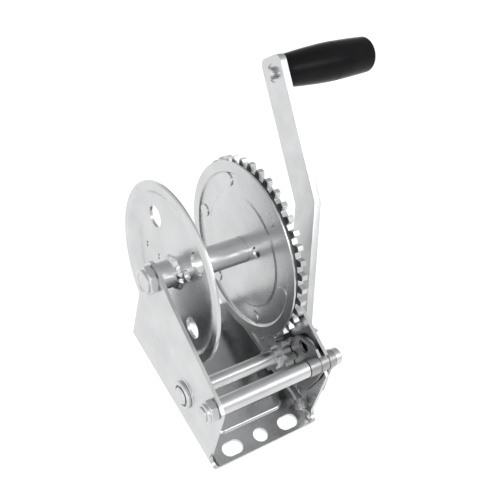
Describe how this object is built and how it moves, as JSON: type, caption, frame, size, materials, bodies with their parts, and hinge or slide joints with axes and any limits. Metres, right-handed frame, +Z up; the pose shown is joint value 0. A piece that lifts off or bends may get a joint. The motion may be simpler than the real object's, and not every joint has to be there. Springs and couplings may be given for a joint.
{
  "type": "boat trailer winch",
  "caption": "Hand-cranked boat trailer winch: zinc-plated U frame, flanged strap drum with ring gear, pinion shaft with cranked handle and sprung ratchet pawl.",
  "frame": {"origin": "underside of the base, at the centre of the round hole between the two front mounting slots", "axes": "+X along the drum axis towards the crank side, +Y to the back of the base, +Z up from the mounting face"},
  "size_m": [0.2355, 0.2134, 0.1831],
  "materials": {
    "zinc_sheet": "satin bright zinc plate",
    "zinc_hardware": "bright zinc plate",
    "pawl_steel": "darker satin plate",
    "spring_wire": "drawn wire",
    "black_plastic": "gloss"
  },
  "bodies": {
    "frame": {"frame": "zinc_sheet", "drum_bolt": "zinc_hardware", "drum_nut": "zinc_hardware", "tie_bolt": "zinc_hardware", "tie_nut": "zinc_hardware", "tie_tube": "zinc_hardware", "left_bush": "zinc_hardware", "right_bush": "zinc_hardware", "pawl_spring": "spring_wire"},
    "drum": {"drum_tube": "zinc_hardware", "left_flange": "zinc_sheet", "right_flange": "zinc_sheet", "left_weld": "zinc_hardware", "right_weld": "zinc_hardware", "ring_gear": "zinc_hardware", "gear_rivets": "zinc_sheet"},
    "pinion": {"pinion_shaft": "zinc_hardware", "pinion": "zinc_hardware", "crank_arm": "zinc_sheet", "crank_nut": "zinc_hardware", "grip_pin": "zinc_hardware", "grip_washer": "zinc_hardware"},
    "grip": {"grip": "black_plastic"},
    "pawl": {"pawl": "pawl_steel", "pawl_lever": "pawl_steel"}
  },
  "joints": [
    {"name": "drum_spin", "type": "hinge", "parent": "frame", "child": "drum", "pos_m": [0, 0.103, 0.0855], "axis": [1, 0, 0], "continuous": true},
    {"name": "pinion_spin", "type": "hinge", "parent": "frame", "child": "pinion", "pos_m": [0, 0.04027, 0.02941], "axis": [1, 0, 0], "continuous": true},
    {"name": "grip_spin", "type": "hinge", "parent": "pinion", "child": "grip", "pos_m": [0.14, 0.18921, 0.16734], "axis": [1, 0, 0], "continuous": true},
    {"name": "pawl_pivot", "type": "hinge", "parent": "frame", "child": "pawl", "pos_m": [0, 0.0085, 0.0586], "axis": [1, 0, 0], "range_deg": [0, 25], "stiffness_Nm_per_rad": 0.15, "springref_deg": -22.92, "deforming": ["pawl_spring"]}
  ],
  "couplings": [
    {"joint": "pinion_spin", "follows": "drum_spin", "ratio": -4.1}
  ]
}
